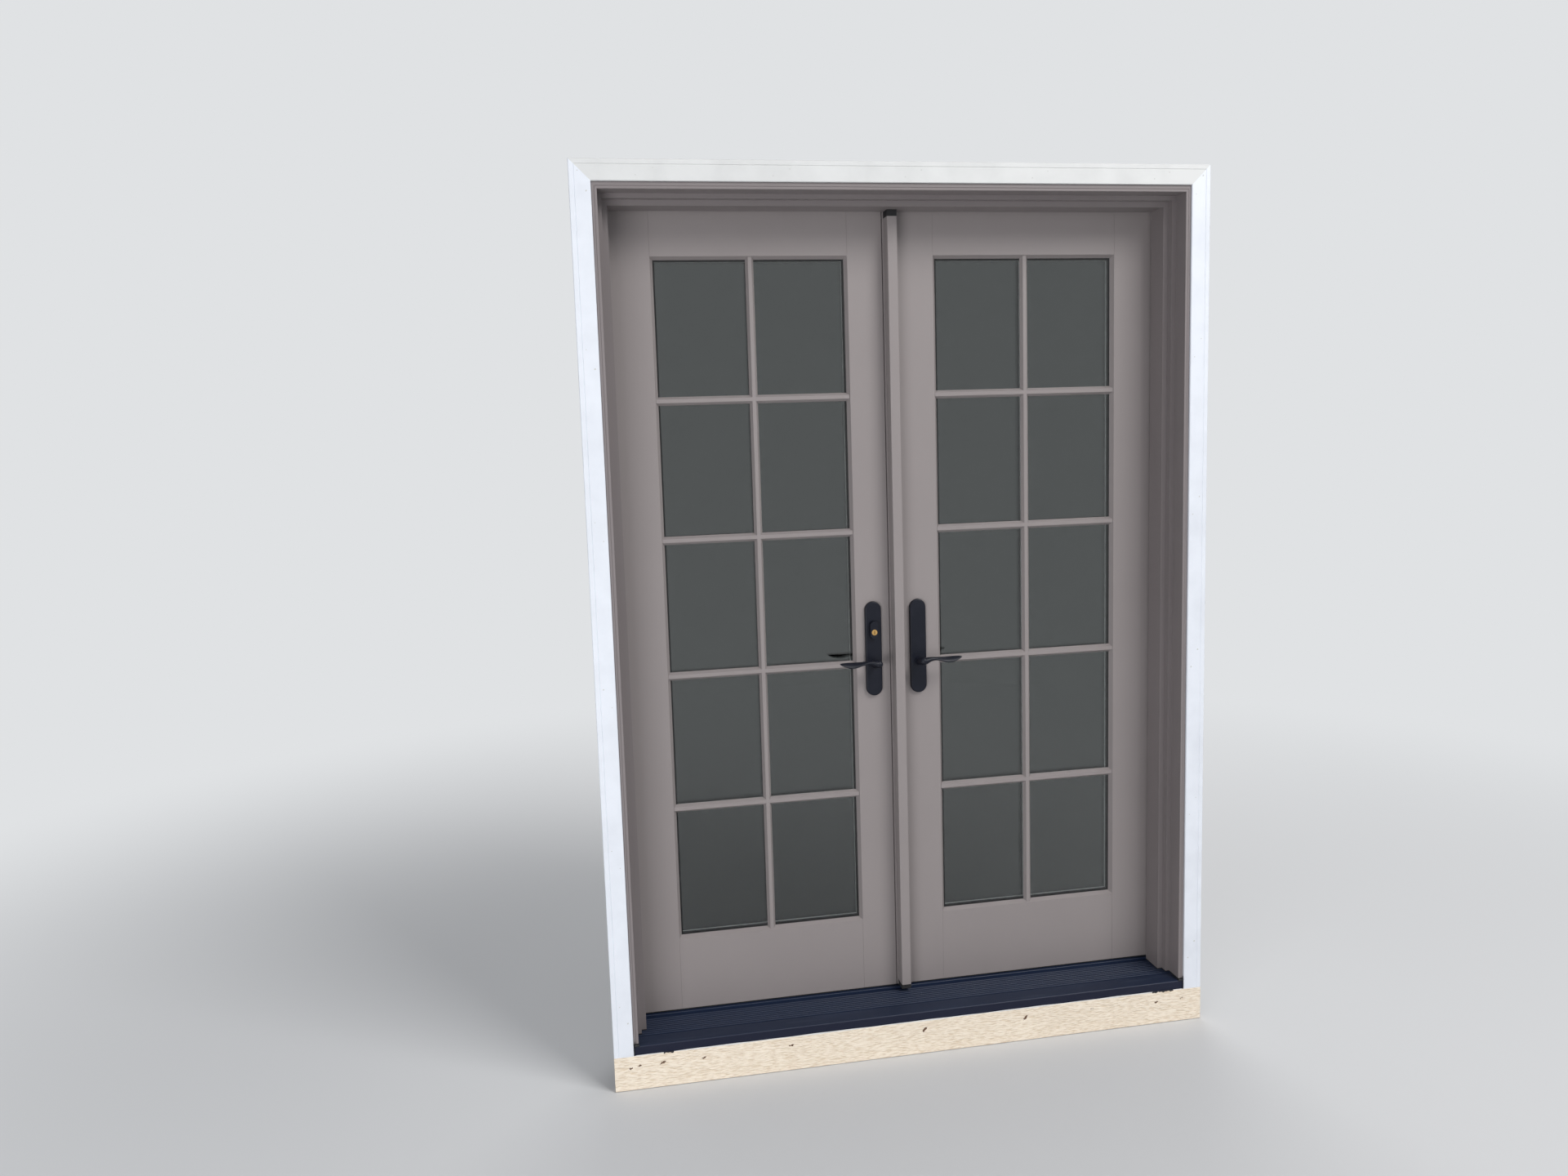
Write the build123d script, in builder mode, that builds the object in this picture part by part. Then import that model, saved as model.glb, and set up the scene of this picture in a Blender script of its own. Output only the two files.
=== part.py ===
import os
from math import atan, degrees

from build123d import *

# Inswing french doors with their frame: two glazed leaves, clad jambs and head, a metal sill,
# the flat outside casing and the skirt board under it. Millimetres, Z up, Y into the house.
# The origin is the middle of the sill's underside.

# frame box
frame_width = 1505.0
frame_height = 2130.0
jamb_thick = 35.0
clad_wall = 2.0

# stepped outside of the jambs and head, measured from the rabbet face and the wall face
nosing_proud = 14.0
nosing_width = 13.5
head_nosing_width = 16.5
nosing_round = 1.6
nosing_line_width = 1.4
front_reveal_depth = 50.0
front_reveal_step = 11.0
middle_reveal_depth = 19.5
stop_step = 13.5
stop_depth = 65.5
seal_space = 6.0

# flat casing and skirt board
casing_width = 49.3
casing_thick = 19.0
casing_line_inset = 12.0
casing_line_width = 1.6
edge_easing = 1.2
skirt_height = 89.0
skirt_lap = 12.0

# sill and threshold
sill_nose_proud = 17.0
sill_nose_height = 35.5
sill_skin = 2.0
nose_radius = 3.0
apron_depth = 44.0
tread_front_height = 38.5
tread_back_height = 40.5
tread_line = 2.2
tread_channel = 8.0
tread_line_depth = 1.2
rib_count = 9
rib_width = 4.6
rib_height = 1.0
rib_root = 0.3
threshold_height = 45.0
threshold_bevel = 1.0
jamb_foot = 42.0

# leaves
leaf_thick = 44.5
leaf_gap = 3.0
sweep_space = 5.0
meeting_gap = 2.8
meeting_shift = -20.7
stile_width = 110.0
stile_wall = 4.9
bottom_rail_height = 190.5
top_rail_height = 116.5
joint_bevel = 0.5

# glazing and the applied bars
sticking_width = 7.5
sticking_depth = 12.0
glass_bite = 14.0
pane_thick = 3.0
pane_clearance = 2.0
spacer_inset = 3.0
spacer_show = 4.0
spacer_bar = 12.0
lite_columns = 2
lite_rows = 5
lite_end_extra = 5.0
bar_width = 21.0
bar_depth = 9.5
bar_face = 9.0
seat_gap = 0.2

# astragal and seals
astragal_width = 25.4
astragal_proud = 37.0
astragal_setback = 2.8
astragal_top_space = 16.4
astragal_foot = 12.5
astragal_pad = 11.5
astragal_round = 2.0
meeting_seal_inset = 2.0
meeting_seal_depth = 6.0
meeting_seal_thick = 0.8
soft_gap = 0.3
seal_radius = 2.8
seal_width = 8.0
seal_base = 2.0
fin_width = 2.5
fin_inset = 4.5

# hinges
hinge_height = 100.0
hinge_plate = 2.5
hinge_plate_depth = 34.0
knuckle_radius = 6.0
knuckle_gap = 0.3
pin_radius = 3.0
pin_head_radius = 5.0
pin_head_thick = 3.0
pin_standoff = 6.5
running_gap = 0.05
hinge_low = 230.0
hinge_high = 180.0

# handle sets
plate_height = 248.0
plate_width = 43.0
plate_thick = 9.0
plate_round = 3.0
plate_rise = 40.5
lever_height = 936.0
left_plate_inset = 44.6
right_plate_inset = 72.9
spindle_side = 8.0
follower_radius = 6.2
collar_radius = 10.0
flange_radius = 11.5
flange_thick = 4.0
neck_radius = 9.0
elbow_radius = 10.4
elbow_ease = 1.0
lever_stand = 56.0
lever_rise = 8.0
key_rise = 85.0
key_collar_height = 48.0
key_collar_width = 24.0
key_collar_rise = 6.0
key_collar_thick = 10.0
key_collar_draft = 7.0
key_barrel_radius = 11.0
key_plug_radius = 7.5
key_plug_proud = 0.8
keyway_width = 1.8
keyway_height = 9.0
turn_flange_radius = 12.0
turn_flange_thick = 3.0
turn_shaft_radius = 5.0
turn_height = 32.0
turn_width = 9.0
turn_stand = 16.0

# the lever's blade: reach along the arm, rise over the axis, half thickness, half breadth and
# the tilt of its broad face, which turns up and out towards the hand
blade_sections = [
    (0.0, 8.0, 9.4, 9.4, 0.0),
    (14.0, 11.0, 7.0, 8.2, 0.0),
    (28.0, 13.2, 4.4, 7.2, 8.0),
    (42.0, 12.0, 3.6, 8.2, 20.0),
    (58.0, 9.6, 3.8, 9.8, 34.0),
    (74.0, 9.2, 3.6, 10.2, 38.0),
    (88.0, 11.2, 2.8, 8.0, 36.0),
    (98.0, 13.2, 1.8, 4.6, 30.0),
    (102.0, 14.2, 1.0, 1.8, 24.0),
]

# locks and bolts
case_height = 190.0
case_depth = 75.0
case_thick = 18.0
faceplate_height = 235.0
faceplate_width = 22.0
faceplate_thick = 3.0
deadbolt_height = 25.0
deadbolt_thick = 13.0
deadbolt_length = 50.0
deadbolt_throw = 25.0
latch_height = 18.0
latch_thick = 12.0
latch_length = 34.0
latch_throw = 12.0
latch_bevel = 8.0
bolt_setback = 0.5
bolt_slide_gap = 0.1
strike_relief = 2.0
rod_radius = 4.0
rod_channel = 10.0
rod_throw = 20.0
strike_length = 60.0
strike_thick = 1.5

# screws through the jambs into the wall
screw_radius = 3.0
screw_end_low = 160.0
screw_end_high = 130.0
screw_low = 700.0
screw_high = 1450.0

# depths, from the wall face into the house
leaf_setback = front_reveal_depth - nosing_proud + middle_reveal_depth + stop_depth + seal_space
stop_setback = leaf_setback - seal_space
frame_depth = leaf_setback + leaf_thick
wall_y = -frame_depth / 2
room_y = frame_depth / 2
leaf_front = wall_y + leaf_setback
leaf_back = leaf_front + leaf_thick
leaf_mid = (leaf_front + leaf_back) / 2
stop_back = wall_y + stop_setback
glass_front = leaf_front + sticking_depth
glass_back = leaf_back - sticking_depth
nose_y = wall_y - sill_nose_proud
tread_y = nose_y + apron_depth
tread_length = stop_back - tread_y - tread_line - tread_channel

# widths and heights
rabbet_x = frame_width / 2 - jamb_thick
rabbet_z = frame_height - jamb_thick
nosing_out = front_reveal_step + nosing_width
head_nosing_out = front_reveal_step + head_nosing_width
casing_inner_x = rabbet_x + nosing_out
casing_inner_z = rabbet_z + head_nosing_out
casing_outer_x = casing_inner_x + casing_width
casing_outer_z = casing_inner_z + casing_width
leaf_edge = rabbet_x - leaf_gap
leaf_top = rabbet_z - leaf_gap
leaf_bottom = threshold_height + sweep_space
left_meeting = meeting_shift - meeting_gap / 2
right_meeting = meeting_shift + meeting_gap / 2
left_case_x = left_meeting - faceplate_thick
right_case_x = right_meeting + faceplate_thick
opening_far = leaf_edge - stile_width
opening_near = case_depth - left_case_x + stile_wall + glass_bite - sticking_width
opening_width = opening_far - opening_near
opening_mid = (opening_far + opening_near) / 2
opening_low = leaf_bottom + bottom_rail_height
opening_high = leaf_top - top_rail_height
opening_height = opening_high - opening_low
opening_z = (opening_low + opening_high) / 2
lite_row_pitch = (opening_height - lite_end_extra) / lite_rows
sticking_angle = degrees(atan(sticking_width / sticking_depth))
bar_angle = degrees(atan((bar_width - bar_face) / 2 / bar_depth))
sight_width = opening_width - 2 * sticking_width
sight_height = opening_height - 2 * sticking_width
pocket_width = sight_width + 2 * glass_bite
pocket_height = sight_height + 2 * glass_bite
pane_width = pocket_width - 2 * pane_clearance
pane_height = pocket_height - 2 * pane_clearance
astragal_left = right_meeting + astragal_setback
astragal_right = astragal_left + astragal_width
astragal_low = leaf_bottom + astragal_foot
astragal_high = rabbet_z - stop_step - astragal_top_space

# hinges, handles and locks
pin_x = rabbet_x - leaf_gap / 2
pin_y = room_y + pin_standoff
knuckle_height = (hinge_height - 2 * knuckle_gap) / 3
hinge_bottom = leaf_bottom + hinge_low
hinge_top = leaf_top - hinge_high
hinge_levels = [hinge_bottom, (hinge_bottom + hinge_top) / 2, hinge_top]
left_axis_x = left_meeting - left_plate_inset
right_axis_x = right_meeting + right_plate_inset
key_z = lever_height + key_rise
plate_z = lever_height + plate_rise
case_z = (lever_height + key_z) / 2
right_case_depth = case_depth + right_plate_inset - left_plate_inset
case_front = leaf_mid - case_thick / 2
case_back = leaf_mid + case_thick / 2
rod_x = right_case_x + rod_channel / 2
rod_upper_foot = case_z + case_height / 2 + bolt_setback
rod_lower_head = case_z - case_height / 2 - bolt_setback
rod_hole_low = leaf_bottom - rod_throw - strike_relief
screw_levels = [screw_end_low, screw_low, screw_high, frame_height - screw_end_high]

os.makedirs("parts", exist_ok=True)


def save(builder, name):
    """Label a finished piece and write it out under its own name."""
    builder.part.label = name
    export_step(builder.part, "parts/" + name + ".step")


def block(x0, x1, y0, y1, z0, z1, mode=Mode.ADD):
    """A box between two opposite corners."""
    with Locations(((x0 + x1) / 2, (y0 + y1) / 2, (z0 + z1) / 2)):
        Box(abs(x1 - x0), abs(y1 - y0), abs(z1 - z0), mode=mode)


def rod_along_y(x, z, y0, y1, radius, mode=Mode.ADD):
    """A round bar or hole through the leaf's thickness."""
    with Locations((x, (y0 + y1) / 2, z)):
        Cylinder(radius, abs(y1 - y0), rotation=(90, 0, 0), mode=mode)


def rod_along_z(x, y, z0, z1, radius, mode=Mode.ADD):
    """An upright round bar or hole."""
    with Locations((x, y, (z0 + z1) / 2)):
        Cylinder(radius, z1 - z0, mode=mode)


# jambs, head and their cladding

def land(u0, u1, y0, y1):
    """One rectangle of a frame section: u out from the rabbet face, y in from the wall face."""
    with Locations((u0, y0)):
        Rectangle(u1 - u0, y1 - y0, align=(Align.MIN, Align.MIN))


def frame_section(nose_out, skin):
    """The stepped section of a jamb or head, less a skin on its outside faces."""
    middle = front_reveal_depth - nosing_proud
    stop = middle + middle_reveal_depth
    land(front_reveal_step + skin, nose_out - skin, skin - nosing_proud, 0)
    land(front_reveal_step + skin, jamb_thick, 0, frame_depth)
    land(skin, jamb_thick, middle + skin, frame_depth)
    land(skin - stop_step, jamb_thick, stop + skin, stop_setback)
    land(0, jamb_thick, stop_setback, frame_depth)


jamb_length = frame_height - jamb_foot
jamb_plane = Plane(origin=(rabbet_x, wall_y, jamb_foot), x_dir=(1, 0, 0), z_dir=(0, 0, 1))
head_plane = Plane(origin=(frame_width / 2, wall_y, rabbet_z), x_dir=(0, 0, 1), z_dir=(-1, 0, 0))


def mitre(x, z, side):
    """The plane across a top corner, facing up and towards the middle."""
    return Plane(origin=(side * x, 0, z), x_dir=(0, 1, 0), z_dir=(-side, 0, 1))


def clad_section(nose_out):
    """The cladding's outline: the nosing has rounded corners and one fine line along it."""
    frame_section(nose_out, 0)
    fillet(vertices().group_by(Axis.Y)[0], nosing_round)
    with Locations((front_reveal_step + nosing_width / 2, -nosing_proud)):
        Rectangle(nosing_line_width, nosing_line_width, rotation=45, mode=Mode.SUBTRACT)


def trim_head_nosing():
    """The head's wider nosing stops between the casing legs."""
    for side in (-1, 1):
        block(side * casing_inner_x, side * frame_width, wall_y - nosing_proud, wall_y,
              rabbet_z, frame_height, mode=Mode.SUBTRACT)


with BuildPart() as right_jamb:
    with BuildSketch(jamb_plane):
        frame_section(nosing_out, clad_wall)
    extrude(amount=jamb_length)
    split(bisect_by=mitre(rabbet_x, rabbet_z, 1), keep=Keep.BOTTOM)
    for level in hinge_levels:
        block(rabbet_x, rabbet_x + hinge_plate, room_y - hinge_plate_depth, room_y,
              level - hinge_height / 2, level + hinge_height / 2, mode=Mode.SUBTRACT)
    for level in screw_levels:
        with Locations((rabbet_x + jamb_thick / 2, leaf_mid, level)):
            Cylinder(screw_radius, jamb_thick, rotation=(0, 90, 0), mode=Mode.SUBTRACT)
save(right_jamb, "right_jamb")

with BuildPart() as left_jamb:
    mirror(right_jamb.part, about=Plane.YZ)
save(left_jamb, "left_jamb")

with BuildPart() as right_cladding:
    with BuildSketch(jamb_plane):
        clad_section(nosing_out)
    extrude(amount=jamb_length)
    with BuildSketch(jamb_plane):
        frame_section(nosing_out, clad_wall)
    extrude(amount=jamb_length, mode=Mode.SUBTRACT)
    split(bisect_by=mitre(rabbet_x, rabbet_z, 1), keep=Keep.BOTTOM)
save(right_cladding, "right_cladding")

with BuildPart() as left_cladding:
    mirror(right_cladding.part, about=Plane.YZ)
save(left_cladding, "left_cladding")

with BuildPart() as head_jamb:
    with BuildSketch(head_plane):
        frame_section(head_nosing_out, clad_wall)
    extrude(amount=frame_width)
    split(bisect_by=mitre(rabbet_x, rabbet_z, 1), keep=Keep.TOP)
    split(bisect_by=mitre(rabbet_x, rabbet_z, -1), keep=Keep.TOP)
    trim_head_nosing()
    block(rod_x - strike_length / 2, rod_x + strike_length / 2, leaf_mid - faceplate_width / 2,
          leaf_mid + faceplate_width / 2, rabbet_z, rabbet_z + strike_thick, mode=Mode.SUBTRACT)
    rod_along_z(rod_x, leaf_mid, rabbet_z, rabbet_z + rod_throw, rod_radius + strike_relief / 2,
                mode=Mode.SUBTRACT)
save(head_jamb, "head_jamb")

with BuildPart() as head_cladding:
    with BuildSketch(head_plane):
        clad_section(head_nosing_out)
    extrude(amount=frame_width)
    with BuildSketch(head_plane):
        frame_section(head_nosing_out, clad_wall)
    extrude(amount=frame_width, mode=Mode.SUBTRACT)
    split(bisect_by=mitre(rabbet_x, rabbet_z, 1), keep=Keep.TOP)
    split(bisect_by=mitre(rabbet_x, rabbet_z, -1), keep=Keep.TOP)
    trim_head_nosing()
save(head_cladding, "head_cladding")


# sill, its core and the threshold

def sill_profile(front, top_drop, foot):
    """The sill's outline: nose, sloped apron, tread and the flat under the threshold."""
    with BuildLine() as outline:
        Polyline(
            (front, foot),
            (front, sill_nose_height - top_drop),
            (tread_y, tread_front_height - top_drop),
            (stop_back, tread_back_height - top_drop),
            (room_y, tread_back_height - top_drop),
            (room_y, foot),
            close=True,
        )
    make_face(outline.edges())


def trim_sill_nose():
    """In front of the wall the nose ends at the casing legs."""
    for side in (-1, 1):
        block(side * casing_inner_x, side * frame_width, nose_y, wall_y, 0, jamb_foot,
              mode=Mode.SUBTRACT)


sill_plane = Plane.YZ.offset(-frame_width / 2)

with BuildPart() as sill_core:
    with BuildSketch(sill_plane):
        sill_profile(nose_y + sill_skin, sill_skin, skirt_lap)
    extrude(amount=frame_width)
    trim_sill_nose()
    block(-frame_width / 2, frame_width / 2, wall_y, room_y, 0, skirt_lap)
    rod_along_z(rod_x, leaf_mid, rod_hole_low, tread_back_height, rod_radius + strike_relief / 2,
                mode=Mode.SUBTRACT)
save(sill_core, "sill_core")

with BuildPart() as sill:
    with BuildSketch(sill_plane):
        sill_profile(nose_y, 0, skirt_lap)
        with Locations((tread_y + tread_line / 2, tread_front_height)):
            Rectangle(tread_line, 2 * tread_line_depth, mode=Mode.SUBTRACT)
        with Locations((stop_back - tread_channel / 2, tread_back_height)):
            Rectangle(tread_channel, 2 * tread_line_depth, mode=Mode.SUBTRACT)
        for i in range(rib_count):
            run = (i + 0.5) / rib_count
            rib_y = tread_y + tread_line + run * tread_length
            slope = (rib_y - tread_y) / (stop_back - tread_y)
            rib_z = tread_front_height + slope * (tread_back_height - tread_front_height)
            with Locations((rib_y, rib_z - rib_root)):
                Trapezoid(rib_width, rib_height + rib_root, 55, align=(Align.CENTER, Align.MIN))
    extrude(amount=frame_width)
    fillet(edges().filter_by(Axis.X).group_by(Axis.Y)[0].sort_by(Axis.Z)[-1], nose_radius)
    with BuildSketch(sill_plane):
        sill_profile(nose_y + sill_skin, sill_skin, 0)
    extrude(amount=frame_width, mode=Mode.SUBTRACT)
    trim_sill_nose()
    rod_along_z(rod_x, leaf_mid, rod_hole_low, threshold_height, rod_radius + strike_relief / 2,
                mode=Mode.SUBTRACT)
save(sill, "sill")

with BuildPart() as threshold:
    with BuildSketch(Plane.YZ.offset(-rabbet_x)):
        with BuildLine():
            Polyline(
                (stop_back, tread_back_height),
                (stop_back, threshold_height - threshold_bevel),
                (stop_back + threshold_bevel, threshold_height),
                (room_y - threshold_bevel, threshold_height),
                (room_y, threshold_height - threshold_bevel),
                (room_y, tread_back_height),
                close=True,
            )
        make_face()
    extrude(amount=2 * rabbet_x)
    block(rod_x - strike_length / 2, rod_x + strike_length / 2, leaf_mid - faceplate_width / 2,
          leaf_mid + faceplate_width / 2, threshold_height - strike_thick, threshold_height,
          mode=Mode.SUBTRACT)
    rod_along_z(rod_x, leaf_mid, tread_back_height, threshold_height,
                rod_radius + strike_relief / 2, mode=Mode.SUBTRACT)
save(threshold, "threshold")

# soft pads that close the wedge between the jamb feet and the sloped sill
with BuildPart() as jamb_pads:
    with BuildSketch(jamb_plane):
        clad_section(nosing_out)
    extrude(amount=sill_nose_height - jamb_foot)
    add(sill.part, mode=Mode.SUBTRACT)
    add(sill_core.part, mode=Mode.SUBTRACT)
    mirror(about=Plane.YZ)
save(jamb_pads, "jamb_pads")

# plates that take the shoot bolts, let in flush in the head and the threshold
with BuildPart() as bolt_strikes:
    for foot in (rabbet_z, threshold_height - strike_thick):
        block(rod_x - strike_length / 2, rod_x + strike_length / 2,
              leaf_mid - faceplate_width / 2, leaf_mid + faceplate_width / 2,
              foot, foot + strike_thick)
        rod_along_z(rod_x, leaf_mid, foot, foot + strike_thick, rod_radius + bolt_setback,
                    mode=Mode.SUBTRACT)
save(bolt_strikes, "bolt_strikes")


# casing and skirt board

def casing_section():
    """A flat board with eased front corners and one fine line near its outer edge."""
    with Locations((casing_width / 2, -casing_thick / 2)):
        Rectangle(casing_width, casing_thick)
    chamfer(vertices().group_by(Axis.Y)[0], edge_easing)
    with Locations((casing_width - casing_line_inset, -casing_thick)):
        Rectangle(casing_line_width, casing_line_width, rotation=45, mode=Mode.SUBTRACT)


with BuildPart() as right_casing:
    with BuildSketch(Plane(origin=(casing_inner_x, wall_y, skirt_lap), x_dir=(1, 0, 0))):
        casing_section()
    extrude(amount=casing_outer_z - skirt_lap)
    split(bisect_by=mitre(casing_inner_x, casing_inner_z, 1), keep=Keep.BOTTOM)
save(right_casing, "right_casing")

with BuildPart() as left_casing:
    mirror(right_casing.part, about=Plane.YZ)
save(left_casing, "left_casing")

with BuildPart() as head_casing:
    with BuildSketch(Plane(origin=(casing_outer_x, wall_y, casing_inner_z),
                           x_dir=(0, 0, 1), z_dir=(-1, 0, 0))):
        casing_section()
    extrude(amount=2 * casing_outer_x)
    split(bisect_by=mitre(casing_inner_x, casing_inner_z, 1), keep=Keep.TOP)
    split(bisect_by=mitre(casing_inner_x, casing_inner_z, -1), keep=Keep.TOP)
save(head_casing, "head_casing")

with BuildPart() as skirt_board:
    block(-casing_outer_x, casing_outer_x, wall_y - casing_thick, wall_y,
          skirt_lap - skirt_height, skirt_lap)
    chamfer(edges().filter_by(Axis.X).group_by(Axis.Y)[0], edge_easing)
save(skirt_board, "skirt_board")

# weather seal round the stops: a flat foot and a round bulb just clear of the leaves
seal_x = rabbet_x - (stop_step + leaf_gap) / 2
seal_z = rabbet_z - (stop_step + leaf_gap) / 2
bulb_y = leaf_front - soft_gap - seal_radius

with BuildPart() as frame_seal:
    with BuildLine() as seal_path:
        Polyline(
            (seal_x, stop_back, threshold_height + soft_gap),
            (seal_x, stop_back, seal_z),
            (-seal_x, stop_back, seal_z),
            (-seal_x, stop_back, threshold_height + soft_gap),
        )
    with BuildSketch(Plane(origin=seal_path.line @ 0, x_dir=(1, 0, 0))):
        Rectangle(seal_width, seal_base, align=(Align.CENTER, Align.MIN))
        with Locations((0, bulb_y - stop_back)):
            Circle(seal_radius)
    sweep(transition=Transition.RIGHT)
save(frame_seal, "frame_seal")


# hinges: the frame carries the outer two knuckles and the pin, the leaf the middle one

def hinge_half(edge_x, side, level, offsets):
    """One hinge plate let into an edge, with its knuckles at the given steps from the middle."""
    inner_x = edge_x + side * hinge_plate
    block(edge_x, inner_x, room_y - hinge_plate_depth, room_y,
          level - hinge_height / 2, level + hinge_height / 2)
    for step in offsets:
        middle = level + step * (knuckle_height + knuckle_gap)
        low = middle - knuckle_height / 2
        high = middle + knuckle_height / 2
        block(edge_x, inner_x, room_y, pin_y, low, high)
        centre_x = pin_x if edge_x > 0 else -pin_x
        rod_along_z(centre_x, pin_y, low, high, knuckle_radius)
        rod_along_z(centre_x, pin_y, low, high, pin_radius + running_gap, mode=Mode.SUBTRACT)


with BuildPart() as frame_hinge_leaves:
    for level in hinge_levels:
        hinge_half(rabbet_x, 1, level, (-1, 1))
    mirror(about=Plane.YZ)
save(frame_hinge_leaves, "frame_hinge_leaves")

with BuildPart() as right_hinge_leaves:
    for level in hinge_levels:
        hinge_half(leaf_edge, -1, level, (0,))
save(right_hinge_leaves, "right_hinge_leaves")

with BuildPart() as left_hinge_leaves:
    mirror(right_hinge_leaves.part, about=Plane.YZ)
save(left_hinge_leaves, "left_hinge_leaves")

with BuildPart() as hinge_pins:
    for level in hinge_levels:
        head = level + hinge_height / 2
        rod_along_z(pin_x, pin_y, level - hinge_height / 2, head, pin_radius)
        rod_along_z(pin_x, pin_y, head, head + pin_head_thick, pin_head_radius)
    mirror(about=Plane.YZ)
save(hinge_pins, "hinge_pins")


# leaves: stiles full height, rails between them, all with a bevelled sticking round the glass

leaf_plane = Plane.XZ.offset(-leaf_back)


def through_plane(x, y, z):
    """A plane across the leaf that faces into the house."""
    return Plane(origin=(x, y, z), x_dir=(1, 0, 0), z_dir=(0, 1, 0))


def sticking_well(x_mid, mode, shrink=0.0):
    """The tapered well of the glazed opening, from the leaf's outside face to the glass."""
    with BuildSketch(through_plane(x_mid, leaf_front, opening_z)) as mouth:
        Rectangle(opening_width - 2 * shrink, opening_height - 2 * shrink)
    extrude(mouth.sketch, amount=sticking_depth, taper=sticking_angle, mode=mode)


def glazing_pocket(x_mid):
    """Cut the well and the rebate behind it that takes the glass and its beads."""
    sticking_well(x_mid, Mode.SUBTRACT)
    with BuildSketch(through_plane(x_mid, glass_front, opening_z)) as rebate:
        Rectangle(pocket_width, pocket_height)
    extrude(rebate.sketch, amount=leaf_thick, mode=Mode.SUBTRACT)


def stile(edge_x, open_x, x_mid):
    """A full-height stile with its mitred lip along the opening."""
    lip_x = open_x + (sticking_width if x_mid > open_x else -sticking_width)
    with BuildSketch(leaf_plane) as face:
        with Locations(((edge_x + open_x) / 2, (leaf_bottom + leaf_top) / 2)):
            Rectangle(abs(open_x - edge_x), leaf_top - leaf_bottom)
        with BuildLine() as lip:
            Polyline(
                (open_x, opening_low),
                (lip_x, opening_low + sticking_width),
                (lip_x, opening_high - sticking_width),
                (open_x, opening_high),
                close=True,
            )
        make_face(lip.edges())
    extrude(face.sketch, amount=leaf_thick)
    glazing_pocket(x_mid)


def rail(x_mid, edge_z, open_z):
    """A rail between the stiles with its mitred lip along the opening."""
    lip_z = open_z + (sticking_width if opening_z > open_z else -sticking_width)
    half = opening_width / 2
    with BuildSketch(leaf_plane) as face:
        with Locations((x_mid, (edge_z + open_z) / 2)):
            Rectangle(opening_width, abs(open_z - edge_z))
        with BuildLine() as lip:
            Polyline(
                (x_mid - half, open_z),
                (x_mid - half + sticking_width, lip_z),
                (x_mid + half - sticking_width, lip_z),
                (x_mid + half, open_z),
                close=True,
            )
        make_face(lip.edges())
    extrude(face.sketch, amount=leaf_thick)
    glazing_pocket(x_mid)
    chamfer(edges().filter_by(Axis.Z).group_by(Axis.Y)[0], joint_bevel)


def panes(x_mid):
    """The two panes of the sealed unit."""
    for front in (glass_front, glass_back - pane_thick):
        block(x_mid - pane_width / 2, x_mid + pane_width / 2, front, front + pane_thick,
              opening_z - pane_height / 2, opening_z + pane_height / 2)


def spacer(x_mid):
    """The spacer frame between the panes, with bars behind the applied ones."""
    inner_width = sight_width - 2 * spacer_show
    inner_height = sight_height - 2 * spacer_show
    with BuildSketch(through_plane(x_mid, glass_front + pane_thick, opening_z)) as frame:
        Rectangle(pane_width - 2 * spacer_inset, pane_height - 2 * spacer_inset)
        Rectangle(inner_width, inner_height, mode=Mode.SUBTRACT)
        column_pitch = opening_width / lite_columns
        with GridLocations(column_pitch, 1, lite_columns - 1, 1):
            Rectangle(spacer_bar, inner_height)
        with GridLocations(1, lite_row_pitch, 1, lite_rows - 1):
            Rectangle(inner_width, spacer_bar)
    extrude(frame.sketch, amount=glass_back - glass_front - 2 * pane_thick)


def grille(x_mid):
    """Bevelled bars on both faces of the glass, coped to the bevel of the sticking."""
    with BuildSketch(Plane(origin=(x_mid, glass_front, opening_z),
                           x_dir=(1, 0, 0), z_dir=(0, -1, 0))) as bars:
        with GridLocations(opening_width / lite_columns, 1, lite_columns - 1, 1):
            Rectangle(bar_width, opening_height + bar_width)
        with GridLocations(1, lite_row_pitch, 1, lite_rows - 1):
            Rectangle(opening_width + bar_width, bar_width)
    extrude(bars.sketch, amount=bar_depth, taper=bar_angle)
    sticking_well(x_mid, Mode.INTERSECT, seat_gap)
    mirror(about=Plane.XZ.offset(-leaf_mid))


def beads(x_mid):
    """Four mitred glazing beads on the room side."""
    with BuildSketch(through_plane(x_mid, glass_back, opening_z)) as outer:
        Rectangle(pocket_width - 2 * seat_gap, pocket_height - 2 * seat_gap)
    extrude(outer.sketch, amount=sticking_depth)
    with BuildSketch(Plane(origin=(x_mid, leaf_back, opening_z),
                           x_dir=(1, 0, 0), z_dir=(0, -1, 0))) as inner:
        Rectangle(opening_width, opening_height)
    extrude(inner.sketch, amount=sticking_depth, taper=sticking_angle, mode=Mode.SUBTRACT)
    for side in (-1, 1):
        for end in (-1, 1):
            corner = (x_mid + side * sight_width / 2, leaf_back, opening_z + end * sight_height / 2)
            with Locations(corner):
                Box(6 * glass_bite, 3 * sticking_depth, seat_gap,
                    rotation=(0, -45 * side * end, 0), mode=Mode.SUBTRACT)


def sweep_fins(x0, x1):
    """Two soft fins under a leaf, just clear of the threshold."""
    for middle in (leaf_front + fin_inset, leaf_back - fin_inset):
        block(x0, x1, middle - fin_width / 2, middle + fin_width / 2,
              threshold_height + soft_gap, leaf_bottom)


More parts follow.
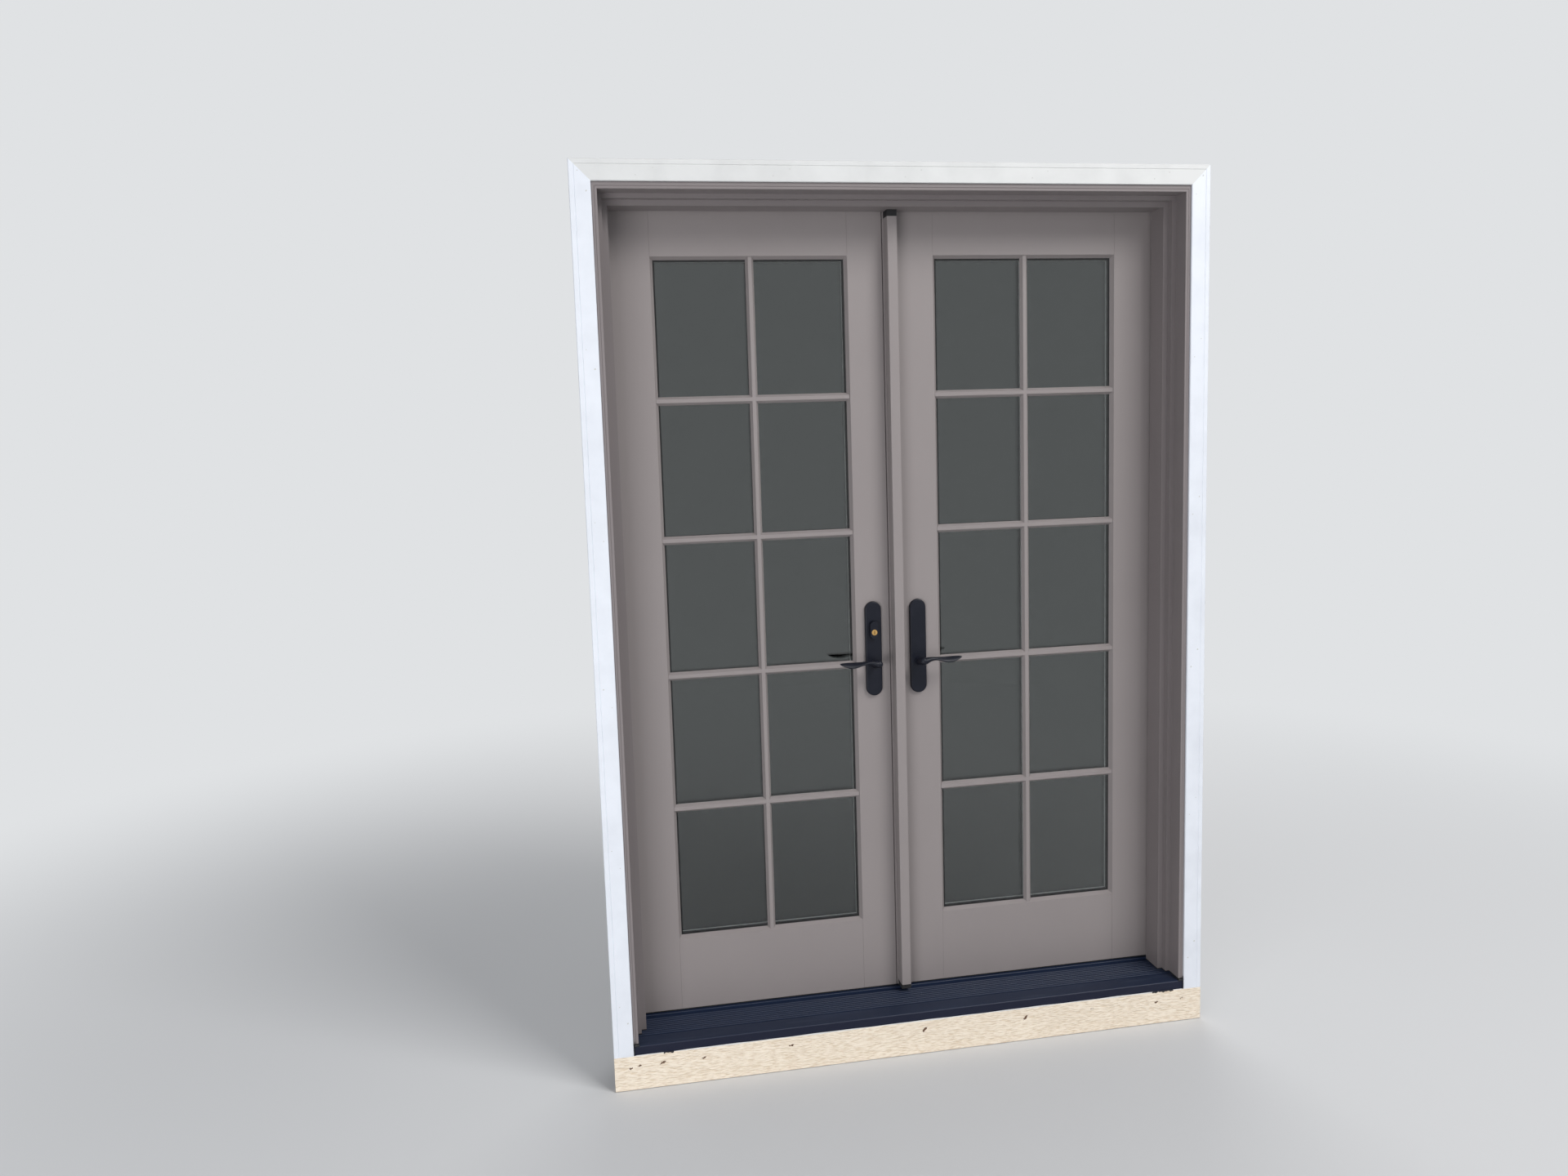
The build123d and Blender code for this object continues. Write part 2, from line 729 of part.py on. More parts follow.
for side, word in ((-1, "left"), (1, "right")):
    x_mid = side * opening_mid
    meeting_x = left_meeting if side < 0 else right_meeting

    with BuildPart() as hinge_stile:
        stile(side * leaf_edge, side * opening_far, x_mid)
        for level in hinge_levels:
            block(side * leaf_edge, side * (leaf_edge - hinge_plate),
                  room_y - hinge_plate_depth, room_y,
                  level - hinge_height / 2, level + hinge_height / 2, mode=Mode.SUBTRACT)
    save(hinge_stile, word + "_hinge_stile")

    with BuildPart() as bottom_rail:
        rail(x_mid, leaf_bottom, opening_low)
    save(bottom_rail, word + "_bottom_rail")

    with BuildPart() as top_rail:
        rail(x_mid, leaf_top, opening_high)
    save(top_rail, word + "_top_rail")

    with BuildPart() as pane_pair:
        panes(x_mid)
    save(pane_pair, word + "_panes")

    with BuildPart() as spacer_frame:
        spacer(x_mid)
    save(spacer_frame, word + "_spacer")

    with BuildPart() as grilles:
        grille(x_mid)
    save(grilles, word + "_grilles")

    with BuildPart() as bead_set:
        beads(x_mid)
    save(bead_set, word + "_glazing_beads")

    with BuildPart() as fins:
        sweep_fins(meeting_x + side * leaf_gap, side * (leaf_edge - leaf_gap))
    save(fins, word + "_sweep")

# the active leaf's lock stile, mortised for the case and drilled for the spindle and cylinder
with BuildPart() as left_lock_stile:
    stile(left_meeting, -opening_near, -opening_mid)
    block(left_case_x - case_depth, left_meeting, case_front, case_back,
          case_z - case_height / 2, case_z + case_height / 2, mode=Mode.SUBTRACT)
    block(left_case_x, left_meeting, leaf_mid - faceplate_width / 2,
          leaf_mid + faceplate_width / 2, case_z - faceplate_height / 2,
          case_z + faceplate_height / 2, mode=Mode.SUBTRACT)
    rod_along_y(left_axis_x, lever_height, leaf_front, leaf_back, follower_radius,
                mode=Mode.SUBTRACT)
    rod_along_y(left_axis_x, key_z, leaf_front, case_front, key_barrel_radius + seat_gap,
                mode=Mode.SUBTRACT)
    rod_along_y(left_axis_x, key_z, case_back, leaf_back, turn_shaft_radius + seat_gap,
                mode=Mode.SUBTRACT)
save(left_lock_stile, "left_lock_stile")

# the passive leaf's lock stile: a deeper mortise and a groove down the edge for the rods
with BuildPart() as right_lock_stile:
    stile(right_meeting, opening_near, opening_mid)
    block(right_meeting, right_case_x + right_case_depth, case_front, case_back,
          case_z - case_height / 2, case_z + case_height / 2, mode=Mode.SUBTRACT)
    block(right_meeting, right_case_x, leaf_mid - faceplate_width / 2,
          leaf_mid + faceplate_width / 2, leaf_bottom, leaf_top, mode=Mode.SUBTRACT)
    block(right_case_x, right_case_x + rod_channel, leaf_mid - rod_channel / 2,
          leaf_mid + rod_channel / 2, leaf_bottom, leaf_top, mode=Mode.SUBTRACT)
    rod_along_y(right_axis_x, lever_height, leaf_front, leaf_back, follower_radius,
                mode=Mode.SUBTRACT)
save(right_lock_stile, "right_lock_stile")


# locks

def bolt_box(x0, x1, z, thick, height, mode=Mode.ADD):
    """A bolt or its channel, centred in the leaf's thickness."""
    block(x0, x1, leaf_mid - thick / 2, leaf_mid + thick / 2, z - height / 2, z + height / 2,
          mode=mode)


left_bolt_x = left_meeting - bolt_setback
slide = 2 * bolt_slide_gap

with BuildPart() as left_lock_case:
    bolt_box(left_case_x - case_depth, left_case_x, case_z, case_thick, case_height)
    bolt_box(left_case_x, left_meeting, case_z, faceplate_width, faceplate_height)
    bolt_box(left_bolt_x - deadbolt_length - bolt_setback, left_meeting, key_z,
             deadbolt_thick + slide, deadbolt_height + slide, mode=Mode.SUBTRACT)
    bolt_box(left_bolt_x - latch_length - bolt_setback, left_meeting, lever_height,
             latch_thick + slide, latch_height + slide, mode=Mode.SUBTRACT)
    rod_along_y(left_axis_x, lever_height, case_front, case_back, follower_radius,
                mode=Mode.SUBTRACT)
save(left_lock_case, "left_lock_case")

with BuildPart() as deadbolt:
    bolt_box(left_bolt_x - deadbolt_length, left_bolt_x, key_z, deadbolt_thick, deadbolt_height)
    chamfer(faces().sort_by(Axis.X)[-1].edges(), edge_easing)
save(deadbolt, "deadbolt")

with BuildPart() as latch_bolt:
    bolt_box(left_bolt_x - latch_length, left_bolt_x, lever_height, latch_thick, latch_height)
    chamfer(edges().filter_by(Axis.Z).group_by(Axis.X)[-1].sort_by(Axis.Y)[0], latch_bevel)
save(latch_bolt, "latch_bolt")

deadbolt_pocket = left_bolt_x + deadbolt_throw + strike_relief
latch_pocket = left_bolt_x + latch_throw + strike_relief

with BuildPart() as right_lock_case:
    bolt_box(right_case_x, right_case_x + right_case_depth, case_z, case_thick, case_height)
    bolt_box(right_case_x, deadbolt_pocket, key_z, deadbolt_thick + 2 * strike_relief,
             deadbolt_height + 2 * strike_relief, mode=Mode.SUBTRACT)
    bolt_box(right_case_x, latch_pocket, lever_height, latch_thick + 2 * strike_relief,
             latch_height + 2 * strike_relief, mode=Mode.SUBTRACT)
    rod_along_y(right_axis_x, lever_height, case_front, case_back, follower_radius,
                mode=Mode.SUBTRACT)
save(right_lock_case, "right_lock_case")

# the passive leaf's edge strip: it covers the rods and is the strike of the active lock
with BuildPart() as edge_strike:
    block(right_meeting, right_case_x, leaf_mid - faceplate_width / 2,
          leaf_mid + faceplate_width / 2, leaf_bottom, leaf_top)
    bolt_box(right_meeting, right_case_x, key_z, deadbolt_thick + strike_relief,
             deadbolt_height + strike_relief, mode=Mode.SUBTRACT)
    bolt_box(right_meeting, right_case_x, lever_height, latch_thick + strike_relief,
             latch_height + strike_relief, mode=Mode.SUBTRACT)
save(edge_strike, "edge_strike")

with BuildPart() as top_bolt:
    rod_along_z(rod_x, leaf_mid, rod_upper_foot, leaf_top - bolt_setback, rod_radius)
save(top_bolt, "top_bolt")

with BuildPart() as bottom_bolt:
    rod_along_z(rod_x, leaf_mid, leaf_bottom + bolt_setback, rod_lower_head, rod_radius)
save(bottom_bolt, "bottom_bolt")

# astragal on the passive leaf, the seal in the seam behind it and the soft pads at its ends
with BuildPart() as astragal:
    block(astragal_left, astragal_right, leaf_front - astragal_proud, leaf_front,
          astragal_low, astragal_high)
    fillet(edges().filter_by(Axis.Z).group_by(Axis.Y)[0], astragal_round)
save(astragal, "astragal")

with BuildPart() as meeting_seal:
    seal_front = leaf_front + meeting_seal_inset
    block(right_meeting - meeting_seal_thick, right_meeting,
          seal_front, seal_front + meeting_seal_depth, astragal_low, astragal_high)
    pad_front = leaf_front - astragal_proud + astragal_round
    block(astragal_left, astragal_right, pad_front, leaf_front,
          astragal_high, rabbet_z - stop_step - soft_gap)
    block(astragal_left, astragal_right, pad_front, leaf_front,
          astragal_low - astragal_pad, astragal_low)
save(meeting_seal, "meeting_seal")


# handle plates

def handle_plate(x, bores):
    """A long plate with round ends and a soft front edge, bored for what turns in it."""
    with BuildSketch(Plane.XZ.offset(-leaf_front)) as outline:
        with Locations((x, plate_z)):
            SlotOverall(plate_height, plate_width, rotation=90)
    extrude(outline.sketch, amount=plate_thick)
    fillet(faces().sort_by(Axis.Y)[0].edges(), plate_round)
    for z, radius in bores:
        rod_along_y(x, z, leaf_front, leaf_front - plate_thick, radius, mode=Mode.SUBTRACT)


mid_plane = Plane.XZ.offset(-leaf_mid)
lever_bore = (lever_height, collar_radius + running_gap)

with BuildPart() as left_outer_plate:
    handle_plate(left_axis_x, [lever_bore, (key_z, key_barrel_radius + seat_gap)])
save(left_outer_plate, "left_outer_plate")

with BuildPart() as left_inner_form:
    handle_plate(left_axis_x, [lever_bore, (key_z, turn_shaft_radius + running_gap)])

with BuildPart() as left_inner_plate:
    mirror(left_inner_form.part, about=mid_plane)
save(left_inner_plate, "left_inner_plate")

with BuildPart() as right_outer_plate:
    handle_plate(right_axis_x, [lever_bore])
save(right_outer_plate, "right_outer_plate")

with BuildPart() as right_inner_plate:
    mirror(right_outer_plate.part, about=mid_plane)
save(right_inner_plate, "right_inner_plate")


# levers: a collar in the plate, a neck that rises to an elbow and a waved, twisting blade

def lever_form(x, hand, out):
    """A lever without its spindle: hand -1 or 1 along X, out -1 outside or 1 in the room.

    Each is shaped on the side where the twist turns forwards, then mirrored if its arm points
    the other way.
    """
    side = -out
    face_y = leaf_front if out < 0 else leaf_back
    flange_y = face_y + out * (plate_thick + soft_gap)
    neck_y = flange_y + out * flange_thick
    elbow_y = face_y + out * lever_stand
    rod_along_y(x, lever_height, face_y + out * soft_gap, flange_y, collar_radius)
    rod_along_y(x, lever_height, flange_y, neck_y, flange_radius)
    with BuildSketch(Plane(origin=(x, neck_y, lever_height),
                           x_dir=(1, 0, 0), z_dir=(0, out, 0))) as root:
        Circle(neck_radius)
    with BuildSketch(Plane(origin=(x, elbow_y, lever_height + lever_rise),
                           x_dir=(1, 0, 0), z_dir=(0, out, 0))) as elbow:
        Circle(elbow_radius - elbow_ease)
    loft([root.sketch, elbow.sketch])
    with Locations((x, elbow_y, lever_height + lever_rise)):
        Sphere(elbow_radius, rotation=(0, 0, 90 + 90 * side))
    stations = []
    for reach, rise, half_thick, half_broad, tilt in blade_sections:
        with BuildSketch(Plane(origin=(x + side * reach, elbow_y, lever_height + rise),
                               x_dir=(0, 1, 0), z_dir=(side, 0, 0))) as station:
            Ellipse(half_broad, half_thick, rotation=tilt)
        stations.append(station.sketch)
    loft(stations)
    if hand != side:
        mirror(about=Plane(origin=(x, 0, 0), z_dir=(1, 0, 0)), mode=Mode.REPLACE)


def spindle(x):
    """The square bar that joins a pair of levers through the leaf."""
    half = spindle_side / 2
    block(x - half, x + half, leaf_front - plate_thick, leaf_back + plate_thick,
          lever_height - half, lever_height + half)


def spindle_socket(x):
    """The square hole of the inside lever."""
    half = spindle_side / 2 + running_gap
    block(x - half, x + half, leaf_back, leaf_back + plate_thick + seat_gap,
          lever_height - half, lever_height + half, mode=Mode.SUBTRACT)


with BuildPart() as left_outer_lever:
    lever_form(left_axis_x, -1, -1)
    spindle(left_axis_x)
save(left_outer_lever, "left_outer_lever")

with BuildPart() as left_inner_lever:
    lever_form(left_axis_x, -1, 1)
    spindle_socket(left_axis_x)
save(left_inner_lever, "left_inner_lever")

with BuildPart() as right_outer_lever:
    lever_form(right_axis_x, 1, -1)
    spindle(right_axis_x)
save(right_outer_lever, "right_outer_lever")

with BuildPart() as right_inner_lever:
    lever_form(right_axis_x, 1, 1)
    spindle_socket(right_axis_x)
save(right_inner_lever, "right_inner_lever")

# key cylinder: a drafted oval collar on the plate, its barrel to the lock case, and the plug
collar_back = leaf_front - plate_thick
collar_face = collar_back - key_collar_thick

with BuildPart() as key_cylinder:
    with BuildSketch(Plane.XZ.offset(-collar_back)):
        with Locations((left_axis_x, key_z + key_collar_rise)):
            SlotOverall(key_collar_height, key_collar_width, rotation=90)
    extrude(amount=key_collar_thick, taper=key_collar_draft)
    rod_along_y(left_axis_x, key_z, collar_back, case_front - soft_gap, key_barrel_radius)
    rod_along_y(left_axis_x, key_z, collar_face, case_front - soft_gap,
                key_plug_radius + running_gap, mode=Mode.SUBTRACT)
save(key_cylinder, "key_cylinder")

with BuildPart() as key_plug:
    rod_along_y(left_axis_x, key_z, collar_face - key_plug_proud, case_front - soft_gap,
                key_plug_radius)
    chamfer(faces().sort_by(Axis.Y)[0].edges(), key_plug_proud / 2)
    block(left_axis_x - keyway_width / 2, left_axis_x + keyway_width / 2,
          collar_face - key_plug_proud, collar_face + keyway_height,
          key_z - keyway_height / 2, key_z + keyway_height / 2, mode=Mode.SUBTRACT)
save(key_plug, "key_plug")

turn_back = leaf_back + plate_thick + soft_gap

with BuildPart() as thumb_turn:
    rod_along_y(left_axis_x, key_z, case_back + soft_gap, turn_back, turn_shaft_radius)
    rod_along_y(left_axis_x, key_z, turn_back, turn_back + turn_flange_thick,
                turn_flange_radius)
    with BuildSketch(through_plane(left_axis_x, turn_back + turn_flange_thick, key_z)):
        SlotOverall(turn_height, turn_width, rotation=90)
    extrude(amount=turn_stand)
    fillet(faces().sort_by(Axis.Y)[-1].edges(), turn_width / 4)
save(thumb_turn, "thumb_turn")
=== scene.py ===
import math

import bmesh
import bpy
from mathutils import Matrix, Vector


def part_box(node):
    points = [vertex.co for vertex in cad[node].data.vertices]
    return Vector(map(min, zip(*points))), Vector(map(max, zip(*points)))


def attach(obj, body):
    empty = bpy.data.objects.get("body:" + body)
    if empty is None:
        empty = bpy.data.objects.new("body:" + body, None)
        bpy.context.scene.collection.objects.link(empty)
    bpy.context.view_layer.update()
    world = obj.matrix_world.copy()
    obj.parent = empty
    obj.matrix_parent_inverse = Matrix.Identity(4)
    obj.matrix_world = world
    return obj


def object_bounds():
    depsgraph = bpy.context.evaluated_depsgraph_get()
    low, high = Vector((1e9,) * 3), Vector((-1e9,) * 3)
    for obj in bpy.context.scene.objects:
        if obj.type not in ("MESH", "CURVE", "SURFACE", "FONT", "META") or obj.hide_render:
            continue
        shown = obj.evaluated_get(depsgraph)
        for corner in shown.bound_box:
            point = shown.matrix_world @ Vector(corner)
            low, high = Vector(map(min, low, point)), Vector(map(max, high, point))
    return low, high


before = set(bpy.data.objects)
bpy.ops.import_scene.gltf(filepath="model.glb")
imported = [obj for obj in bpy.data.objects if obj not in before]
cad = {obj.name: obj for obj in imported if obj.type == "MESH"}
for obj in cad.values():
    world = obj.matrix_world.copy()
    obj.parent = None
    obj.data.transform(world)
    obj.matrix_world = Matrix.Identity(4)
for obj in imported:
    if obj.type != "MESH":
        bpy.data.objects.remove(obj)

cad_box = [list(corner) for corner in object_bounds()]


# The stage. A pale floor at the foot of the skirt board, a pale surround that camera, mirror
# and glass rays see, a broad lamp high on the right, a low one on the left and a weak one on
# the room side. The camera stands left of the doors and looks a little down at them.

class Wire:
    """An output of a node, so that sums and products of values read as plain Python."""

    def __init__(self, nodes, socket):
        self.nodes = nodes
        self.socket = socket

    def _sum(self, operation, *values):
        return self.nodes.add("ShaderNodeMath", {"operation": operation}, *values)

    def __add__(self, other):
        return self._sum("ADD", self, other)

    def __radd__(self, other):
        return self._sum("ADD", other, self)

    def __mul__(self, other):
        return self._sum("MULTIPLY", self, other)

    def __rmul__(self, other):
        return self._sum("MULTIPLY", other, self)


class Nodes:
    """A node tree that is filled by one method."""

    def __init__(self, tree):
        self.tree = tree

    def join(self, socket, value):
        if isinstance(value, Wire):
            self.tree.links.new(value.socket, socket)
        else:
            socket.default_value = value

    def add(self, kind, settings=None, *values, out=0, **named):
        """One node: its settings first, then the values or wires of its sockets."""
        node = self.tree.nodes.new(kind)
        for key, value in (settings or {}).items():
            if key == "stops":
                ramp = node.color_ramp
                while len(ramp.elements) < len(value):
                    ramp.elements.new(0.5)
                for stop, (place, grey) in zip(ramp.elements, value):
                    stop.position = place
                    stop.color = (grey, grey, grey, 1)
            else:
                setattr(node, key, value)
        for number, value in enumerate(values):
            if value is not None:
                self.join(node.inputs[number], value)
        for key, value in named.items():
            self.join(node.inputs[key.replace("_", " ")], value)
        return Wire(self, node.outputs[out])


def tone(red, green, blue):
    """A colour written as it looks on a screen, 0 to 255, for a shader's socket."""
    def light(value):
        value /= 255
        return value / 12.92 if value <= 0.04045 else ((value + 0.055) / 1.055) ** 2.4
    return (light(red), light(green), light(blue), 1)


class Finish(Nodes):
    """A surface finish of this unit: one Principled shader and what varies over it."""

    def __init__(self, name, colour, roughness, **fixed):
        self.material = bpy.data.materials.new(name)
        self.material.use_nodes = True
        super().__init__(self.material.node_tree)
        self.shader = self.tree.nodes["Principled BSDF"]
        self.set(Base_Color=colour, Roughness=roughness, **fixed)

    def set(self, **sockets):
        for key, value in sockets.items():
            self.join(self.shader.inputs[key.replace("_", " ")], value)

    def place(self, stretch=(1, 1, 1)):
        """Where a point of the piece lies, in metres, squeezed along its axes."""
        where = self.add("ShaderNodeTexCoord", out="Object")
        return self.add("ShaderNodeMapping", None, where, Scale=stretch)

    def cloud(self, scale, detail, stretch=(1, 1, 1), out="Fac"):
        """Soft noise from 0 to 1, its scale in patches a metre."""
        return self.add("ShaderNodeTexNoise", None, Vector=self.place(stretch), Scale=scale,
                        Detail=detail, out=out)

    def past(self, axis, level):
        """1 where a point lies beyond a level along X, Y or Z, and 0 before it."""
        apart = self.add("ShaderNodeSeparateXYZ", None, self.place(), out=axis)
        return self.add("ShaderNodeMath", {"operation": "GREATER_THAN"}, apart, level)

    def ramp(self, value, *stops):
        """A grey that follows a value through stops of (value, grey)."""
        return self.add("ShaderNodeValToRGB", {"stops": stops}, value)

    def between(self, factor, one, other):
        """A colour between two, by a factor."""
        mix = self.tree.nodes.new("ShaderNodeMix")
        mix.data_type = "RGBA"
        self.join(mix.inputs[0], factor)
        self.join(mix.inputs[6], one)
        self.join(mix.inputs[7], other)
        return Wire(self, mix.outputs[2])

    def relief(self, height, depth, strength=1.0):
        """Bump from a height of 0 to 1 that stands for a depth in metres."""
        self.set(Normal=self.add("ShaderNodeBump", None, Height=height, Distance=depth,
                                 Strength=strength))

    def on(self, *names):
        """Give this finish to CAD pieces."""
        for name in names:
            mesh = cad[name].data
            mesh.materials.clear()
            mesh.materials.append(self.material)


floor_z = cad_box[0][2] - 0.001
floor_reach = 30
fade_start, fade_end = 1.4, 4.5
pale_tone = tone(224, 226, 228)
corners = [(x * floor_reach, y * floor_reach, floor_z)
           for x, y in ((-1, -1), (1, -1), (1, 1), (-1, 1))]
floor_mesh = bpy.data.meshes.new("floor")
floor_mesh.from_pydata(corners, [], [(0, 1, 2, 3)])
floor = bpy.data.objects.new("floor", floor_mesh)
bpy.context.scene.collection.objects.link(floor)


def seen_rays(nodes):
    """1 for the rays of the camera, of mirrors and of glass, and 0 for the light itself."""
    camera_ray, mirror_ray, glass_ray = (
        nodes.add("ShaderNodeLightPath", out=kind)
        for kind in ("Is Camera Ray", "Is Glossy Ray", "Is Transmission Ray"))
    either = nodes.add("ShaderNodeMath", {"operation": "MAXIMUM"}, camera_ray, mirror_ray)
    return nodes.add("ShaderNodeMath", {"operation": "MAXIMUM"}, either, glass_ray)


floor_finish = Finish("floor_pale", tone(208, 209, 210), 0.9)
away = floor_finish.add("ShaderNodeVectorMath", {"operation": "LENGTH"}, floor_finish.place(),
                        out="Value")
fade = floor_finish.add("ShaderNodeMapRange", {"interpolation_type": "SMOOTHSTEP"}, away,
                        fade_start, fade_end, 0.0, 1.0)
glow = floor_finish.add("ShaderNodeEmission", None, Color=pale_tone, Strength=1.0)
ground = floor_finish.add("ShaderNodeMixShader", None, fade * seen_rays(floor_finish),
                          Wire(floor_finish, floor_finish.shader.outputs[0]), glow)
floor_finish.join(floor_finish.tree.nodes["Material Output"].inputs["Surface"], ground)
floor_mesh.materials.append(floor_finish.material)

surround = bpy.data.worlds.new("surround")
bpy.context.scene.world = surround
surround.use_nodes = True
air = Nodes(surround.node_tree)
lit = air.add("ShaderNodeBackground", None, Color=tone(238, 241, 248), Strength=0.36)
pale = air.add("ShaderNodeBackground", None, Color=pale_tone, Strength=1.0)
both = air.add("ShaderNodeMixShader", None, seen_rays(air), lit, pale)
air.join(surround.node_tree.nodes["World Output"].inputs["Surface"], both)


def lamp(name, place, aim, size, power, colour):
    """A rectangular soft lamp that faces a point."""
    light = bpy.data.lights.new(name, "AREA")
    light.shape = "RECTANGLE"
    light.size, light.size_y = size
    light.energy = power
    light.color = colour
    holder = bpy.data.objects.new(name, light)
    holder.location = place
    holder.rotation_euler = (Vector(aim) - Vector(place)).to_track_quat("-Z", "Y").to_euler()
    holder.visible_transmission = False
    bpy.context.scene.collection.objects.link(holder)
    return holder


lamp("key_lamp", place=(2.9, -3.8, 5.4), aim=(0.2, -0.4, 0.0), size=(3.0, 2.4), power=296,
     colour=(1.0, 0.99, 0.98))
lamp("fill_lamp", place=(-3.0, -3.8, 0.7), aim=(0.0, 0.0, 0.4), size=(2.2, 1.6), power=88,
     colour=(0.97, 0.98, 1.0))
room_lamp = lamp("room_lamp", place=(1.2, 3.6, 2.8), aim=(0.0, 0.0, 1.0), size=(3.0, 3.0),
                 power=80, colour=(1.0, 0.99, 0.97))
room_lamp.visible_glossy = False

camera = bpy.data.objects.new("camera", bpy.data.cameras.new("camera"))
bpy.context.scene.collection.objects.link(camera)
bpy.context.scene.camera = camera
camera_place = (-0.8473, -2.94498, 1.5314)
sight_right = Vector((0.9824452, -0.18388943, -0.03140229))
sight_up = Vector((0.05359974, 0.11701432, 0.99168277))
sight_ahead = Vector((0.17868546, 0.97595713, -0.12481659))
turned = Matrix((sight_right, sight_up, -sight_ahead)).transposed()
camera.matrix_world = Matrix.Translation(camera_place) @ turned.to_4x4()
picture_width, focal_pixels = 1920, 1465
shift_right, shift_down = 1.2, 0.8
camera.data.sensor_width = 36
camera.data.lens = camera.data.sensor_width * focal_pixels / picture_width
camera.data.shift_x = shift_right / picture_width
camera.data.shift_y = -shift_down / picture_width
bpy.context.scene.view_settings.view_transform = "Standard"


# Jambs and head: primed wood that carries the whole unit, seen from the room and the sides.
# Sanded primer hides most of the grain.

primer = Finish("white_primer", tone(226, 224, 218), 0.6)
fibres = primer.cloud(160, 5, stretch=(1, 1, 0.06))
primer.set(Base_Color=primer.between(primer.ramp(fibres, (0.35, 0), (0.7, 1)),
                                     tone(229, 227, 221), tone(216, 213, 206)),
           Roughness=0.5 + 0.2 * fibres)
primer.relief(fibres, 0.0002, 0.5)
primer.on("left_jamb", "right_jamb", "head_jamb")


# Cladding: thin stepped metal skins on the outside of the jambs and head, mitred at the top
# corners and finished in the same baked taupe as the leaves, set darker here as painted shade.

def shifted(colour, step):
    """A colour with all its parts raised or lowered by one step."""
    return tone(*(part + step for part in colour))


def taupe(name, colour):
    """Factory taupe: an even satin coat with a trace of orange peel and haze."""
    coat = Finish(name, tone(*colour), 0.45)
    haze = coat.cloud(3.0, 3)
    peel = coat.cloud(900, 2)
    coat.set(Base_Color=coat.between(haze, shifted(colour, -3), shifted(colour, 3)),
             Roughness=0.40 + 0.12 * haze)
    coat.relief(peel, 0.00004, 0.6)
    return coat


# The cladding's taupe is painted darker than the leaves' taupe: painted shade of the recess.
clad_coat_painted_shade = taupe("taupe_cladding", (124, 117, 117))
clad_coat_painted_shade.on("left_cladding", "right_cladding", "head_cladding")


# Sill: one dark coated extrusion with nine low ribs on its tread and a plain sloped apron,
# on a moulded core. The threshold strip behind it closes under the leaves.

nose_depth = 0.0006
apron_depth = 0.0445
# The coat's blue tint is painted sky reflection; its lighter rubbed streaks and dust are wear.
sill_coat = Finish("sill_coating", tone(20, 27, 41), 0.34)
rubbed = sill_coat.cloud(26, 6, stretch=(0.25, 1, 1))
specks = sill_coat.cloud(420, 3)
dust = sill_coat.cloud(60, 5, stretch=(0.08, 1, 1))
sill_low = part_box("sill")[0]
wear_dust_and_painted_sky = sill_coat.between(sill_coat.ramp(rubbed, (0.45, 0), (0.75, 0.6)),
                          tone(25, 35, 56), tone(37, 47, 68))
wear_dust_and_painted_sky = sill_coat.between(sill_coat.ramp(dust, (0.6, 0), (0.8, 0.4)), wear_dust_and_painted_sky, tone(70, 78, 94))
# The tread is painted bluer than the apron: painted sky reflection on the flat tread.
tread_wear_and_painted_sky = sill_coat.between(rubbed, tone(14, 26, 50), tone(24, 38, 62))
wear_dust_and_painted_sky = sill_coat.between(sill_coat.past("Y", sill_low.y + apron_depth), wear_dust_and_painted_sky, tread_wear_and_painted_sky)
# The nose's front face is painted darker than the apron: painted shade.
wear_dust_and_painted_sky = sill_coat.between(sill_coat.past("Y", sill_low.y + nose_depth), tone(10, 17, 40), wear_dust_and_painted_sky)
sill_coat.set(Base_Color=wear_dust_and_painted_sky, Roughness=0.36 + 0.25 * rubbed, Specular_IOR_Level=0.35)
sill_coat.relief(specks, 0.00005, 0.5)
sill_coat.on("sill", "threshold")

core_plastic = Finish("core_plastic", tone(84, 84, 86), 0.75)
core_mottle = core_plastic.cloud(90, 4)
core_plastic.set(Roughness=0.65 + 0.2 * core_mottle)
core_plastic.relief(core_mottle, 0.0001)
core_plastic.on("sill_core")


# Soft pieces, in black: the pads under the jambs' feet, the seal round the stops, the sweeps
# under the leaves and the astragal's end pads. The thin seal in the seam is black rubber too,
# painted grey here as painted light that lifts the shade in the seam.

def soft(name, colour):
    """Dull rubber with a fine skin. Returns the finish."""
    rubber = Finish(name, colour, 0.7)
    skin = rubber.cloud(500, 3)
    rubber.set(Roughness=0.6 + 0.25 * skin)
    rubber.relief(skin, 0.00005)
    return rubber


rubber_black = tone(24, 24, 26)
seam_painted_light_grey = tone(112, 105, 105)
soft("black_seal", rubber_black).on("jamb_pads", "frame_seal", "left_sweep", "right_sweep")

thin_seal = 0.0015
# The seam seal's grey is painted light over black rubber; its end pads stay black.
seam_seal = soft("seam_seal", seam_painted_light_grey)
end_pads = seam_seal.past("X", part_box("meeting_seal")[0].x + thin_seal)
seam_seal.set(Base_Color=seam_seal.between(end_pads, seam_painted_light_grey, rubber_black))
seam_seal.on("meeting_seal")


# Casing: three flat boards with a fine line near the outer edge, brushed with white paint
# that keeps the marks of the brush along each board.

def brushed_white(name, along, colour):
    """White paint with brush marks along one axis."""
    paint = Finish(name, tone(*colour), 0.42)
    stretch = [1.0, 1.0, 1.0]
    stretch[along] = 0.03
    strokes = paint.cloud(330, 4, stretch=stretch)
    dull = paint.cloud(14, 4)
    paint.set(Base_Color=paint.between(paint.ramp(dull, (0.4, 0), (0.9, 1)),
                                       tone(*colour), shifted(colour, -12)),
              Roughness=0.38 + 0.2 * dull)
    paint.relief(strokes, 0.00012, 0.6)
    return paint


brushed_white("white_paint_up", 2, (225, 229, 236)).on("left_casing", "right_casing")
# The head's white is set darker than the legs' white: painted shade along the top.
brushed_white("white_paint_across", 0, (213, 214, 213)).on("head_casing")


# Skirt board: primed board under the sill, embossed with coarse wood grain in long wavy
# ridges that are rolled in before the primer.

